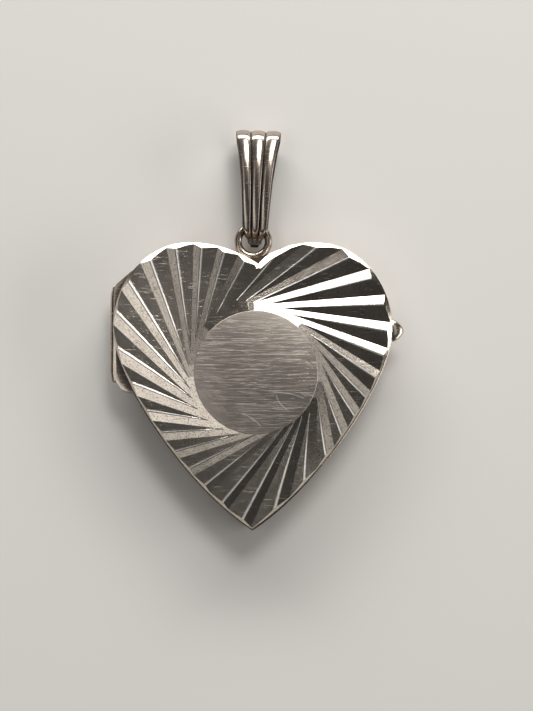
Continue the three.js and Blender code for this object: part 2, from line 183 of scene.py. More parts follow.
def plain_object(name, verts_mm, faces):
    """An object for cutting with or working on, before it is a piece."""
    piece = linked_object(name, verts_mm, faces)
    shape = bmesh.new()
    shape.from_mesh(piece.data)
    bmesh.ops.recalc_face_normals(shape, faces=shape.faces)
    shape.to_mesh(piece.data)
    shape.free()
    return piece


def cut_out(piece, tool):
    """Cuts `tool` out of `piece` and removes the tool."""
    modifier = piece.modifiers.new("cut", "BOOLEAN")
    modifier.operation = "DIFFERENCE"
    modifier.object = tool
    modifier.solver = "EXACT"
    bpy.context.view_layer.update()
    apply_modifiers(piece)
    bpy.data.objects.remove(tool)


def loft(rings, closed=False):
    """Faces through rings with the same number of points: capped at both ends, or closed on itself."""
    count = len(rings[0])
    verts = [tuple(point) for ring in rings for point in ring]
    faces = []
    spans = len(rings) if closed else len(rings) - 1
    for level in range(spans):
        low = level * count
        high = ((level + 1) % len(rings)) * count
        for index in range(count):
            after = (index + 1) % count
            faces.append((low + index, low + after, high + after, high + index))
    if not closed:
        faces.append(tuple(range(count))[::-1])
        faces.append(tuple(range(len(verts) - count, len(verts))))
    return verts, faces


def heart_rings(profile):
    """Heart outlines at (inset, z) stations."""
    return [[(point.x, point.y, z) for point in heart(inset)] for inset, z in profile]


def rounded_band(outer, inner, low, high, edge, steps=3):
    """The section of a band with small round edges, as a closed run of (inset, z)."""
    corners = ((outer, low, 1, 1), (outer, high, 1, -1), (inner, high, -1, -1), (inner, low, -1, 1))
    section = []
    for number, (inset, z, inward, upward) in enumerate(corners):
        centre = (inset + inward * edge, z + upward * edge)
        start = math.pi / 2 * (3 - number)
        for step in range(steps + 1):
            angle = start - math.pi / 2 * step / steps
            section.append((centre[0] + edge * math.cos(angle), centre[1] + edge * math.sin(angle)))
    return section


def lathe_y(profile, centre_x, centre_z, steps=64):
    """One ring per step round a line along Y, each with the profile's (radius, y) points."""
    rings = []
    for step in range(steps):
        angle = 2 * math.pi * step / steps
        rings.append([(centre_x + radius * math.cos(angle), y, centre_z + radius * math.sin(angle))
                      for radius, y in profile])
    return rings


# ---- Places taken from the frame (mm) ----

def span(node, axis):
    low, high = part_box(node)
    return low[axis] / MM, high[axis] / MM


BACK_COVER_TOP = span("back_cover", 2)[1]
BACK_LOW, PARTING = span("back_frame", 2)
FRONT_LOW, FRONT_TOP = span("front_frame", 2)
COVER_LOW, MEDALLION_TOP = span("front_cover", 2)
HINGE_LOW, HINGE_HIGH = span("hinge_pin", 1)
HINGE_X = sum(span("hinge_pin", 0)) / 2
HINGE_Z = sum(span("hinge_pin", 2)) / 2
RING_X, RING_Y, RING_Z = (sum(span("suspension_ring", axis)) / 2 for axis in range(3))
WIRE = (span("suspension_ring", 2)[1] - span("suspension_ring", 2)[0]) / 2
RING_RADIUS = (span("suspension_ring", 0)[1] - span("suspension_ring", 0)[0]) / 2 - WIRE

# ---- Materials ----

class Nodes:
    """A short way to add shader nodes."""

    def __init__(self, name):
        self.material = bpy.data.materials.new(name)
        self.material.use_nodes = True
        self.tree = self.material.node_tree
        self.shader = self.tree.nodes["Principled BSDF"]
        self.place = self.tree.nodes.new("ShaderNodeTexCoord").outputs["Object"]

    def add(self, kind, inputs=None, **settings):
        node = self.tree.nodes.new(kind)
        for name, value in settings.items():
            setattr(node, name, value)
        for name, value in (inputs or {}).items():
            socket = node.inputs[name]
            if isinstance(value, bpy.types.NodeSocket):
                self.tree.links.new(value, socket)
            else:
                socket.default_value = value
        return node

    def scaled(self, scale, turn=(0.0, 0.0, 0.0), source=None):
        """Coordinates scaled per mm, turned first."""
        node = self.add("ShaderNodeMapping", {
            "Vector": source or self.place,
            "Rotation": turn,
            "Scale": tuple(part / MM if source is None else part for part in scale),
        })
        return node.outputs["Vector"]

    def noise(self, vector, detail, roughness=0.5):
        node = self.add("ShaderNodeTexNoise", {
            "Vector": vector, "Scale": 1.0, "Detail": detail, "Roughness": roughness, "Distortion": 0.0,
        })
        return node.outputs["Fac"]

    def ramp(self, value, low, high, from_value=0.0, to_value=1.0):
        node = self.add("ShaderNodeMapRange", {
            "Value": value, "From Min": low, "From Max": high, "To Min": from_value, "To Max": to_value,
        })
        return node.outputs["Result"]

    def math(self, operation, first, second=0.0):
        node = self.add("ShaderNodeMath", {0: first, 1: second}, operation=operation)
        return node.outputs["Value"]

    def vector_math(self, operation, first, second=(0.0, 0.0, 0.0), output="Vector"):
        node = self.add("ShaderNodeVectorMath", {0: first, 1: second}, operation=operation)
        return node.outputs[output]

    def uv_parts(self, uv_map):
        """The two coordinates of a UV map, as X and Y outputs."""
        place = self.add("ShaderNodeUVMap", uv_map=uv_map).outputs["UV"]
        return self.add("ShaderNodeSeparateXYZ", {0: place}).outputs

    def mix_colour(self, share, first, second):
        node = self.tree.nodes.new("ShaderNodeMix")
        node.data_type = "RGBA"
        share_socket, first_socket, second_socket = (node.inputs[index] for index in (0, 6, 7))
        for socket, value in ((share_socket, share), (first_socket, first), (second_socket, second)):
            if isinstance(value, bpy.types.NodeSocket):
                self.tree.links.new(value, socket)
            else:
                socket.default_value = value
        return node.outputs[2]

    def bump(self, height, distance_mm, strength=1.0, normal=None):
        inputs = {"Height": height, "Distance": distance_mm * MM, "Strength": strength}
        if normal is not None:
            inputs["Normal"] = normal
        return self.add("ShaderNodeBump", inputs).outputs["Normal"]

    def dress(self, colour, rough, normal):
        """Links the three main sockets of the shader."""
        for name, source in (("Base Color", colour), ("Roughness", rough), ("Normal", normal)):
            self.tree.links.new(source, self.shader.inputs[name])


# Scales are repeats per mm, depths are mm.
LINE_LEVEL = 0.66
LINE_SOFTNESS = 0.06
TARNISH_SCALE = (0.35, 0.35, 0.35)
GRAIN_SCALE = (14.0, 14.0, 14.0)
GRAIN_DEPTH = 0.0017
STROKE_SCALE = (0.45, 24.0, 1.0)
STROKE_DEPTH = 0.0035
STROKE_ANGLES = (-9.0, 4.0)
PIT_SCALE = (6.5, 6.5, 6.5)
PIT_DEPTH = 0.0042
TOOL_LINE_SCALE = (0.25, 16.0, 1.0)
TOOL_LINE_DEPTH = 0.003
RIDGE_HEIGHT = 0.012
PIT_DARK = (0.10, 0.09, 0.08, 1)
OXIDE_DARK = (0.075, 0.062, 0.055, 1)
# Painted highlight: the lighter colour laid along the ridges of the cut faces.
PAINTED_RIDGE_HIGHLIGHT = (0.86, 0.84, 0.81, 1)
FRESH_SCRATCH = (0.95, 0.93, 0.90, 1)


def hairlines(nodes, angles, length=0.5, fineness=9.0):
    """Fine straight scratches at several angles, as a 0 to 1 mask."""
    mask = None
    for number, degrees in enumerate(angles):
        vector = nodes.scaled((length, fineness, length), turn=(0.0, 0.0, math.radians(degrees)))
        moved = nodes.vector_math("ADD", vector, (3.7 * number, 1.3 * number, 0.0))
        lines = nodes.ramp(nodes.noise(moved, detail=3.0), LINE_LEVEL, LINE_LEVEL + LINE_SOFTNESS)
        mask = lines if mask is None else nodes.math("MAXIMUM", mask, lines)
    return mask


def arc_scratch(nodes, centre, radius, start, sweep, width=0.045):
    """One curved scratch: a thin stretch of a circle, lengths in mm, angles in degrees from +X."""
    spot = nodes.vector_math("SUBTRACT", nodes.place, (centre[0] * MM, centre[1] * MM, 0.0))
    flat = nodes.vector_math("MULTIPLY", spot, (1.0, 1.0, 0.0))
    away = nodes.vector_math("LENGTH", flat, output="Value")
    off = nodes.math("ABSOLUTE", nodes.math("SUBTRACT", away, radius * MM))
    line = nodes.ramp(off, 0.0, width * MM, 1.0, 0.0)
    middle = math.radians(start + sweep / 2)
    facing = nodes.vector_math("DOT_PRODUCT", flat, (math.cos(middle), math.sin(middle), 0.0), output="Value")
    turned = nodes.math("DIVIDE", facing, away)
    edge = math.cos(math.radians(sweep / 2))
    return nodes.math("MULTIPLY", line, nodes.ramp(turned, edge, edge + (1 - edge) * 0.4))


def silver(name, light, dark, roughness, scratches, brushed=0.0, pitted=0.0, marks=(), cut=False,
           fluted=False):
    """Aged silver: tarnish in soft patches, hairline scratches, a fine grain, and what else is asked for.

    That is brush strokes, pits, single marks, the tool lines of cut faces with a raised bead along
    their ridges whose colour is lightened as a painted highlight (cut), or grooves dark with oxide (fluted).
    """
    nodes = Nodes(name)
    scratch_angles, scratch_length, scratch_fineness, scratch_depth = scratches
    clouds = nodes.noise(nodes.scaled(TARNISH_SCALE), detail=5.0, roughness=0.6)
    grain = nodes.noise(nodes.scaled(GRAIN_SCALE), detail=4.0, roughness=0.65)
    colour = nodes.mix_colour(nodes.ramp(clouds, 0.35, 0.68), light, dark)
    speckle = nodes.ramp(grain, 0.35, 0.65)
    colour = nodes.mix_colour(nodes.math("MULTIPLY", speckle, 0.5), colour, dark)
    scratches = hairlines(nodes, scratch_angles, scratch_length, scratch_fineness)
    rough = nodes.ramp(grain, 0.3, 0.7, roughness - 0.04, roughness + 0.06)
    rough = nodes.math("ADD", rough, nodes.math("MULTIPLY", scratches, 0.10))
    normal = nodes.bump(scratches, scratch_depth, 0.6)
    if brushed:
        for degrees in STROKE_ANGLES:
            turn = (0.0, 0.0, math.radians(degrees))
            strokes = nodes.noise(nodes.scaled(STROKE_SCALE, turn=turn), detail=4.0)
            normal = nodes.bump(strokes, STROKE_DEPTH * brushed, 0.7, normal)
    if pitted:
        cells = {"Vector": nodes.scaled(PIT_SCALE), "Scale": 1.0, "Randomness": 1.0}
        pits = nodes.add("ShaderNodeTexVoronoi", cells, feature="F1").outputs["Distance"]
        spots = nodes.ramp(pits, 0.10, 0.36)
        normal = nodes.bump(spots, PIT_DEPTH * pitted, 0.6, normal)
        spotted = nodes.math("MULTIPLY", nodes.ramp(pits, 0.16, 0.42, 0.60, 0.0), pitted)
        colour = nodes.mix_colour(spotted, colour, PIT_DARK)
    for centre, radius, start, sweep in marks:
        mark = arc_scratch(nodes, centre, radius, start, sweep)
        rough = nodes.math("MAXIMUM", rough, nodes.math("MULTIPLY", mark, 0.55))
        colour = nodes.mix_colour(mark, colour, FRESH_SCRATCH)
    if cut:
        along = nodes.add("ShaderNodeUVMap", uv_map="Cut").outputs["UV"]
        lines = nodes.noise(nodes.scaled(TOOL_LINE_SCALE, source=along), detail=3.0)
        normal = nodes.bump(lines, TOOL_LINE_DEPTH, 0.7, normal)
        # Ridge bead: a raised bump along each ridge, and its colour lightened as a painted highlight standing
        # in for thin bright lines on the ridges.
        bead = nodes.ramp(nodes.uv_parts("Ridge")["X"], 0.88, 1.0)
        normal = nodes.bump(bead, RIDGE_HEIGHT, 1.0, normal)
        colour = nodes.mix_colour(bead, colour, PAINTED_RIDGE_HIGHLIGHT)
        rough = nodes.math("ADD", rough, nodes.math("MULTIPLY", bead, 0.16))
    if fluted:
        flute = nodes.uv_parts("Flute")
        worn = nodes.math("ADD", flute["X"], nodes.math("MULTIPLY", grain, 0.25))
        worn = nodes.math("ADD", worn, nodes.math("MULTIPLY", flute["Y"], 0.55))
        oxide = nodes.ramp(worn, 0.70, 1.25, 0.95, 0.0)
        colour = nodes.mix_colour(oxide, colour, OXIDE_DARK)
        rough = nodes.math("ADD", rough, nodes.math("MULTIPLY", oxide, 0.15))
    normal = nodes.bump(grain, GRAIN_DEPTH, 0.7, normal)
    nodes.dress(colour, rough, normal)
    nodes.shader.inputs["Metallic"].default_value = 1.0
    return nodes.material


def clear_acetate(name):
    """Thin clear sheet: nearly see-through, a little cloudier where it is dusty or scuffed."""
    nodes = Nodes(name)
    dust = nodes.noise(nodes.scaled((6.0, 6.0, 6.0)), detail=4.0)
    scuffs = hairlines(nodes, (20.0, -50.0, 95.0))
    veil = nodes.math("ADD", nodes.ramp(dust, 0.4, 0.8, 0.10, 0.20), nodes.math("MULTIPLY", scuffs, 0.16))
    rough = nodes.math("ADD", nodes.ramp(dust, 0.4, 0.8, 0.05, 0.16), nodes.math("MULTIPLY", scuffs, 0.3))
    colour = nodes.mix_colour(dust, (0.86, 0.87, 0.87, 1), (0.74, 0.74, 0.72, 1))
    nodes.dress(colour, rough, nodes.bump(scuffs, 0.003, 0.4))
    nodes.tree.links.new(veil, nodes.shader.inputs["Alpha"])
    return nodes.material


def ivory_card(name):
    """Plain card with short fibres, yellowed in places."""
    nodes = Nodes(name)
    fibres = nodes.noise(nodes.scaled((5.0, 22.0, 5.0), turn=(0, 0, 0.6)), detail=6.0, roughness=0.7)
    stain = nodes.ramp(nodes.noise(nodes.scaled((0.16, 0.16, 0.16)), detail=4.0), 0.45, 0.75)
    paper = nodes.mix_colour(fibres, (0.80, 0.74, 0.61, 1), (0.88, 0.83, 0.72, 1))
    aged = nodes.mix_colour(nodes.math("MULTIPLY", stain, 0.5), paper, (0.66, 0.55, 0.39, 1))
    nodes.dress(aged, nodes.ramp(fibres, 0.3, 0.7, 0.75, 0.95), nodes.bump(fibres, 0.02, 0.6))
    return nodes.material


# Scratches: angles in degrees, stretch and fineness per mm, depth in mm.
ALL_WAYS = ((8.0, 63.0, -38.0, 118.0), 0.5, 9.0, 0.002)
MOSTLY_LENGTHWAYS = ((84.0, 97.0, 40.0), 0.5, 9.0, 0.002)
MOSTLY_ACROSS = ((-52.0, -34.0, -16.0, -5.0, 6.0, 19.0, 37.0, 71.0, 96.0), 0.3, 17.0, 0.006)
MATERIALS = {
    "bright_cut_silver": silver("bright_cut_silver", (0.70, 0.636, 0.561, 1), (0.50, 0.446, 0.383, 1), 0.15,
                                scratches=ALL_WAYS, pitted=1.0, cut=True),
    "silver": silver("silver", (0.66, 0.589, 0.507, 1), (0.42, 0.351, 0.294, 1), 0.20,
                     scratches=ALL_WAYS, pitted=0.4),
    "satin_silver": silver("satin_silver", (0.70, 0.646, 0.57, 1), (0.50, 0.437, 0.365, 1), 0.32,
                           scratches=ALL_WAYS, brushed=1.0),
    "clear_acetate": clear_acetate("clear_acetate"),
    "ivory_card": ivory_card("ivory_card"),
}
# Marks on the disc: the arc's centre and radius in mm, where it starts and how far it sweeps in degrees.
DISC_MARKS = (
    ((2.1, -6.2), 5.4, 62.0, 34.0),
    ((3.9, -0.6), 1.9, 190.0, 60.0),
    ((-0.6, 4.6), 6.4, 262.0, 18.0),
    ((-2.4, -6.5), 4.2, 40.0, 30.0),
)
MEDALLION_SILVER = silver("medallion_silver", (0.62, 0.556, 0.498, 1), (0.44, 0.389, 0.343, 1), 0.30,
                          scratches=MOSTLY_ACROSS, brushed=1.7, marks=DISC_MARKS)
BAIL_SILVER = silver("bail_silver", (0.66, 0.589, 0.516, 1), (0.44, 0.37, 0.311, 1), 0.19,
                     scratches=MOSTLY_LENGTHWAYS, pitted=0.3, fluted=True)

# ---- Front cover: the swirl-cut shell (mm) ----

SWIRL_CENTRE = Vector((0.155, 1.28))
SWIRL_RADIUS = 5.45
GROOVES = 30
FIRST_GROOVE = 7.0          # degrees clockwise from +Y
GROOVE_START_Z = 5.0
GROOVE_FALL = 0.88          # from the circle to the heart's edge
FALL_EASING = 0.5           # how much the fall slackens towards the edge
STEEP_WALL = 0.25
GENTLE_WALL = 0.115
COVER_EDGE_Z = 4.05
BEVEL_SLOPE = 0.58          # at the top of the heart
LOW_BEVEL_SLOPE = 1.3       # steeper, so narrower, round the sides and the tip
BEVEL_TURN = (2.0, 9.0)     # between these heights on a line leaning to the right it changes over
BEVEL_TURN_LEAN = 0.3
SHOULDER_Z = 5.02
MEDALLION_CENTRE = Vector((0.3, 0.94))
MEDALLION_RADIUS = 5.31
STATIONS = 16               # rows of faces along a groove
CREASE_STEPS = 4            # of which so many lie before the groove's tip
ACROSS_STEEP = 3
ACROSS_GENTLE = 2
REACH_STEP = 0.25
FINE_STEPS = 260            # of the outline that distances are measured to, in each half
SEARCH_STEPS = 26
QUICK_STEPS = 20
CREASE_SEARCH = math.radians(14)
CREASE_START = 4.2          # a radius inside every crease

fine_outline = heart(0.0, FINE_STEPS)


def edge_distance(spot):
    """Distance to the heart's outline, positive inside, and the nearest point on it."""
    best, nearest, inside = math.inf, None, False
    for a, b in zip(fine_outline, fine_outline[1:] + fine_outline[:1]):
        edge = b - a
        share = max(0.0, min(1.0, (spot - a).dot(edge) / edge.length_squared))
        foot = a + edge * share
        gap = (spot - foot).length
        if gap < best:
            best, nearest = gap, foot
        if (a.y > spot.y) != (b.y > spot.y) and spot.x < a.x + (spot.y - a.y) * edge.x / edge.y:
            inside = not inside      # one more crossing of the outline to the right of the spot
    return (best if inside else -best), nearest


def bisect(function, low, high, steps=SEARCH_STEPS):
    """A root of function between low, where it is negative, and high."""
    for _ in range(steps):
        middle = (low + high) / 2
        if function(middle) < 0:
            low = middle
        else:
            high = middle
    return (low + high) / 2


class Groove:
    """One V groove: it runs straight off a circle round the disc and falls towards the heart's edge."""

    def __init__(self, number):
        angle = math.radians(FIRST_GROOVE + 360.0 / GROOVES * number)
        self.outward = Vector((math.sin(angle), math.cos(angle)))
        self.along = Vector((math.cos(angle), -math.sin(angle)))
        self.start = SWIRL_CENTRE + self.outward * SWIRL_RADIUS
        self.run = self.reach()
        self.length = self.run

    def reach(self):
        """How far along the groove the heart's edge is."""
        run = 1.0
        while edge_distance(self.on_line(run + REACH_STEP))[0] > 0:
            run += REACH_STEP
        return bisect(lambda s: -edge_distance(self.on_line(s))[0], run, run + REACH_STEP)

    def on_line(self, run):
        return self.start + self.along * run

    def bottom(self, run):
        share = run / self.length
        eased = (1 + FALL_EASING) * share
        if share > 0:
            eased -= FALL_EASING * share * share
        return GROOVE_START_Z - GROOVE_FALL * eased

    def height(self, spot):
        offset = spot - self.start
        run = offset.dot(self.along)
        across = offset.dot(self.outward)
        rise = GENTLE_WALL * across if across > 0 else -STEEP_WALL * across
        return self.bottom(run) + rise


grooves = [Groove(number) for number in range(GROOVES)]
for groove, before, after in zip(grooves, grooves[-1:] + grooves[:-1], grooves[1:] + grooves[:1]):
    groove.length = groove.run / 2 + before.run / 4 + after.run / 4


def smooth_step(value, low, high):
    share = max(0.0, min(1.0, (value - low) / (high - low)))
    return share * share * (3 - 2 * share)


def bevel_height(spot):
    top = smooth_step(spot.y + BEVEL_TURN_LEAN * spot.x, *BEVEL_TURN)
    slope = LOW_BEVEL_SLOPE + (BEVEL_SLOPE - LOW_BEVEL_SLOPE) * top
    return COVER_EDGE_Z + slope * edge_distance(spot)[0]


def polar(radius, angle):
    """A point clockwise from +Y about the swirl's centre."""
    return SWIRL_CENTRE + Vector((math.sin(angle), math.cos(angle))) * radius


def clockwise(spot):
    offset = spot - SWIRL_CENTRE
    return math.atan2(offset.x, offset.y)


def groove_tip(groove, before):
    """Where the groove's bottom comes out of the steep wall of the groove before it."""
    return bisect(lambda s: before.height(groove.on_line(s)) - groove.bottom(s), 0.2, 7.0)


def crease_before(groove, before):
    """From the shoulder to the groove's tip, along the crease between two steep walls."""
    tip_run = groove_tip(groove, before)
    tip = groove.on_line(tip_run)
    tip_radius, tip_angle = (tip - SWIRL_CENTRE).length, clockwise(tip)

    def on_crease(radius):
        def lead(turn):
            spot = polar(radius, tip_angle + turn)
            return groove.height(spot) - before.height(spot)
        low, high = -CREASE_SEARCH, CREASE_SEARCH
        if lead(low) > lead(high):
            return polar(radius, tip_angle + bisect(lambda turn: -lead(turn), low, high))
        return polar(radius, tip_angle + bisect(lead, low, high))

    def below_shoulder(radius):
        return SHOULDER_Z - before.height(on_crease(radius))

    start_radius = bisect(below_shoulder, CREASE_START, tip_radius)
    spread = tip_radius - start_radius
    radii = [start_radius + spread * step / CREASE_STEPS for step in range(CREASE_STEPS)]
    return [on_crease(radius) for radius in radii] + [tip], tip_run


def ridge_point(groove, before, run):
    """The ridge between a groove's gentle wall and the steep wall of the groove before it."""
    foot = groove.on_line(run)
    across = bisect(lambda p: groove.bottom(run) + GENTLE_WALL * p
                    - before.height(foot + groove.outward * p), 0.0, 4.0)
    return foot + groove.outward * across


def rail_end(rail_at, height_at, low, high):
    """How far along a rail the bevel meets it."""
    return bisect(lambda run: height_at(rail_at(run)) - bevel_height(rail_at(run)), low, high, QUICK_STEPS)


def build_rails(number):
    """The bottom line of a groove and the ridge on its outer side, from its tip to the bevel."""
    groove, before = grooves[number], grooves[number - 1]
    crease, tip_run = crease_before(groove, before)
    rows = STATIONS - CREASE_STEPS
    bottom_end = rail_end(groove.on_line, groove.height, groove.run - 3.0, groove.run + 0.3)

    def ridge_at(run):
        return ridge_point(groove, before, run)

    ridge_end = rail_end(ridge_at, groove.height, groove.run - 5.0, groove.run + 2.0)
    shares = [row / rows for row in range(1, rows + 1)]
    bottom = [groove.on_line(tip_run + (bottom_end - tip_run) * share) for share in shares]
    ridge = [ridge_at(tip_run + (ridge_end - tip_run) * share) for share in shares]
    return crease, bottom, ridge


rails = [build_rails(number) for number in range(GROOVES)]


def wall_grid(left, right, groove, across):
    """Points between two rails of a groove wall. Its last row lies where the wall meets the bevel."""
    shares = [step / across for step in range(across + 1)]
    middle = middle_x(left[-1].y)
    if (left[-1].x - middle) * (right[-1].x - middle) < 0:
        shares = middle_shares(left, right, groove)
    columns = []
    for share in shares:
        if share in (0.0, 1.0):
            columns.append(left if share == 0.0 else right)
            continue
        column = [a.lerp(b, share) for a, b in zip(left, right)]
        columns.append(stretch_to_bevel(column, groove))
    return shares, columns


def stretch_to_bevel(column, groove):
    """The column with its last point moved along to the bevel, and the points near it drawn after it."""
    heading = (column[-1] - column[-2]).normalized()
    past = rail_end(lambda run: column[-1] + heading * run, groove.height, -1.5, 2.5)
    end = column[-1] + heading * past
    rows = len(column) - 1
    return [point.lerp(end, (row / rows) ** 4) for row, point in enumerate(column)]


def middle_shares(left, right, groove):
    """Shares with one whose column ends on the heart's middle line, at the tip or the cleft."""
    middle = middle_x(left[-1].y)
    side = -1 if left[-1].x > middle else 1

    def past_middle(share):
        column = [a.lerp(b, share) for a, b in zip(left, right)]
        return side * (stretch_to_bevel(column, groove)[-1].x - middle)

    share = bisect(past_middle, 0.02, 0.98, 18)
    return [0.0, share / 2, share, share + (1 - share) / 3, share + (1 - share) * 2 / 3, 1.0]


class Shell:
    """Collects the cover's points, faces and regions, welding equal points.

    Every face corner has a place along and across its groove, and a nearness to the ridge (0 to 1).
    """

    def __init__(self):
        self.verts, self.faces, self.regions, self.known = [], [], [], {}
        self.cut, self.ridge = [], []

    def point(self, spot, z):
        key = (round(spot.x, 4), round(spot.y, 4), round(z, 3))
        if key not in self.known:
            self.known[key] = len(self.verts)
            self.verts.append((spot.x, spot.y, z))
        return self.known[key]

    def face(self, corners, region, places=None):
        places = places or [((0.0, 0.0), (0.0, 0.0))] * len(corners)
        kept = [index for index, corner in enumerate(corners) if corner != corners[index - 1]]
        if len({corners[index] for index in kept}) > 2:
            self.faces.append(tuple(corners[index] for index in kept))
            self.regions.append(region)
            self.cut += [places[index][0] for index in kept]
            self.ridge += [places[index][1] for index in kept]


shell = Shell()
shoulder_ring, bevel_ring = [], []


def add_wall(shares, columns, groove, region, crease_rows, ridge_at_start=False):
    """Adds the faces between neighbouring columns, and gives back the columns' point numbers."""
    grid, places = [], []
    for share, column in zip(shares, columns):
        nearness = 1 - share if ridge_at_start else share
        grid.append([shell.point(spot, groove.height(spot)) for spot in column])
        places.append([])
        for row, spot in enumerate(column):
            offset = spot - groove.start
            cut_place = (offset.dot(groove.along), offset.dot(groove.outward))
            places[-1].append((cut_place, (nearness if row >= crease_rows else 0.0, 0.0)))
    for left, right, left_place, right_place in zip(grid, grid[1:], places, places[1:]):
        for row in range(len(left) - 1):
            shell.face((left[row], left[row + 1], right[row + 1], right[row]), region,
                       (left_place[row], left_place[row + 1], right_place[row + 1], right_place[row]))
    return grid


for number in range(GROOVES):
    groove = grooves[number]
    crease, bottom, ridge = rails[number]
    next_crease, _, next_ridge = rails[(number + 1) % GROOVES]
    shares, gentle = wall_grid([crease[-1], *ridge], [crease[-1], *bottom], groove, ACROSS_GENTLE)
    gentle_grid = add_wall(shares, gentle, groove, 2 * number, 0, ridge_at_start=True)
    shares, steep = wall_grid([*crease, *bottom], [*next_crease, *next_ridge], groove, ACROSS_STEEP)
    steep_grid = add_wall(shares, steep, groove, 2 * number + 1, CREASE_STEPS)
    bevel_ring += [(column[-1], line[-1]) for column, line in zip(gentle[:-1], gentle_grid[:-1])]
    bevel_ring += [(column[-1], line[-1]) for column, line in zip(steep[:-1], steep_grid[:-1])]
    shoulder_ring += [line[0] for line in steep_grid[:-1]]

WALLS = 2 * GROOVES
BEVEL_REGION, EDGE_REGION, TOP_REGION, UNDER_REGION = range(WALLS, WALLS + 4)
ON_MIDDLE = 0.01
edge_top, edge_low = [], []
for spot, _ in bevel_ring:
    foot = edge_distance(spot)[1]
    if abs(spot.x - middle_x(spot.y)) < ON_MIDDLE:
        foot = lean_cleft(Vector(CLEFT)) if spot.y > 0 else Vector(TIP)
    edge_top.append(shell.point(foot, COVER_EDGE_Z))
    edge_low.append(shell.point(foot, COVER_LOW))
bevel_top = [index for _, index in bevel_ring]
for index, top in enumerate(bevel_top):
    after = (index + 1) % len(bevel_top)
    shell.face((top, edge_top[index], edge_top[after], bevel_top[after]), BEVEL_REGION)
    shell.face((edge_top[index], edge_low[index], edge_low[after], edge_top[after]), EDGE_REGION)
shell.face(shoulder_ring, TOP_REGION)
under = [index for position, index in enumerate(edge_low) if index != edge_low[position - 1]]
shell.face(under, UNDER_REGION)

new_piece("swirl_cover", shell.verts, shell.faces, "front_half", "front_cover", "bright_cut_silver",
          regions=shell.regions, corner_maps={"Cut": shell.cut, "Ridge": shell.ridge})

# The plain medallion stands a little proud of the shoulder, with a softened rim.
MEDALLION_EDGE = 0.05
MEDALLION_HEIGHT = 0.5
MEDALLION_SIDES = 128
EDGE_STEPS = 4
profile = [(MEDALLION_RADIUS, MEDALLION_TOP - MEDALLION_HEIGHT)]
for step in range(EDGE_STEPS + 1):
    turn = math.pi / 2 * step / EDGE_STEPS
    profile.append((MEDALLION_RADIUS - MEDALLION_EDGE + MEDALLION_EDGE * math.cos(turn),
                    MEDALLION_TOP - MEDALLION_EDGE + MEDALLION_EDGE * math.sin(turn)))
medallion_turns = [2 * math.pi * step / MEDALLION_SIDES for step in range(MEDALLION_SIDES)]
medallion_rings = []
for radius, z in profile:
    medallion_rings.append([(MEDALLION_CENTRE.x + radius * math.cos(turn),
                             MEDALLION_CENTRE.y + radius * math.sin(turn), z) for turn in medallion_turns])
medallion = new_piece("medallion", *loft(medallion_rings), "front_half", "front_cover", "bright_cut_silver",
                      smooth_angle=35)
medallion.data.materials[0] = MEDALLION_SILVER

# ---- Side frames and hinge bearers ----

FLANGE_PROUD = 0.14
FLANGE_HEIGHT = 0.22
WALL = 0.65
BEARER_DEPTH = 0.3
GROOVE_RADIUS = 0.5
GROOVE_MARGIN = 0.24        # how far the hinge's groove runs past the pin at each end
SEAM = 0.02
SOFT_EDGE = 0.03
BEARER_OUTLINE = ((-10.0, 9.95), (-10.5, 9.95), (-11.24, 9.3), (-11.78, 8.83), (-12.05, 8.4),
                  (-12.05, 0.9), (-11.78, 0.27), (-11.32, -0.35), (-10.86, -0.55), (-10.0, -0.6))


def hinge_cutter():
    """The room that the knuckles and pin need in the walls beside them."""
    low, high = HINGE_LOW - GROOVE_MARGIN, HINGE_HIGH + GROOVE_MARGIN
    rings = lathe_y([(GROOVE_RADIUS, low), (GROOVE_RADIUS, high)], HINGE_X, HINGE_Z)
    swapped = [[ring[end] for ring in rings] for end in range(2)]
    return plain_object("hinge_cutter", *loft(swapped))


def bearer_block(low, high, depth):
    """The crescent between the heart's side and the straight hinge line, let into the wall by `depth`."""
    ring = [[(x, y, z) for x, y in BEARER_OUTLINE] for z in (low, high)]
    block = plain_object("bearer_block", *loft(ring))
    core = plain_object("bearer_core", *loft(heart_rings([(depth, low - 1), (depth, high + 1)])))
    cut_out(block, core)
    return block


def side_frame(name, node, body, low, high, flange_low, flange_high):
    """A side wall with a flange standing out along the parting, as an (inset, z) section round the heart."""
    soft, bulge = SOFT_EDGE, FLANGE_PROUD
    if flange_low < (low + high) / 2:
        section = [(0.0, high - soft), (soft, high), (WALL, high), (WALL, low), (-bulge + soft, low),
                   (-bulge, low + soft), (-bulge, flange_high - soft), (-bulge + soft, flange_high),
                   (0.0, flange_high + soft)]
    else:
        section = [(soft, low), (0.0, low + soft), (0.0, flange_low - soft), (-bulge + soft, flange_low),
                   (-bulge, flange_low + soft), (-bulge, high - soft), (-bulge + soft, high), (WALL, high),
                   (WALL, low)]
    piece = plain_object(name, *loft(heart_rings(section), closed=True))
    cut_out(piece, bearer_block(low - 1, high + 1, BEARER_DEPTH + SEAM))
    cut_out(piece, hinge_cutter())
    finish_piece(piece, body, node, "silver", smooth_angle=30)


side_frame("back_side_band", "back_frame", "back_half",
           BACK_LOW, PARTING, PARTING - FLANGE_HEIGHT, PARTING)
side_frame("front_side_band", "front_frame", "front_half",
           FRONT_LOW, FRONT_TOP, FRONT_LOW, FRONT_LOW + FLANGE_HEIGHT)


def bearer(name, node, body, low, high):
    """A hinge bearer with its edges softened."""
    piece = bearer_block(low, high, BEARER_DEPTH)
    piece.name = name
    cut_out(piece, hinge_cutter())
    soften = piece.modifiers.new("soften", "BEVEL")
    soften.width = 0.05 * MM
    soften.segments = 2
    soften.limit_method = "ANGLE"
    soften.angle_limit = math.radians(40)
    bpy.context.view_layer.update()
    apply_modifiers(piece)
    finish_piece(piece, body, node, "silver", smooth_angle=30)


bearer("back_bearer", "back_hinge_bearer", "back_half", *span("back_hinge_bearer", 2))
bearer("front_bearer", "front_hinge_bearer", "front_half", *span("front_hinge_bearer", 2))

# ---- Back cover ----

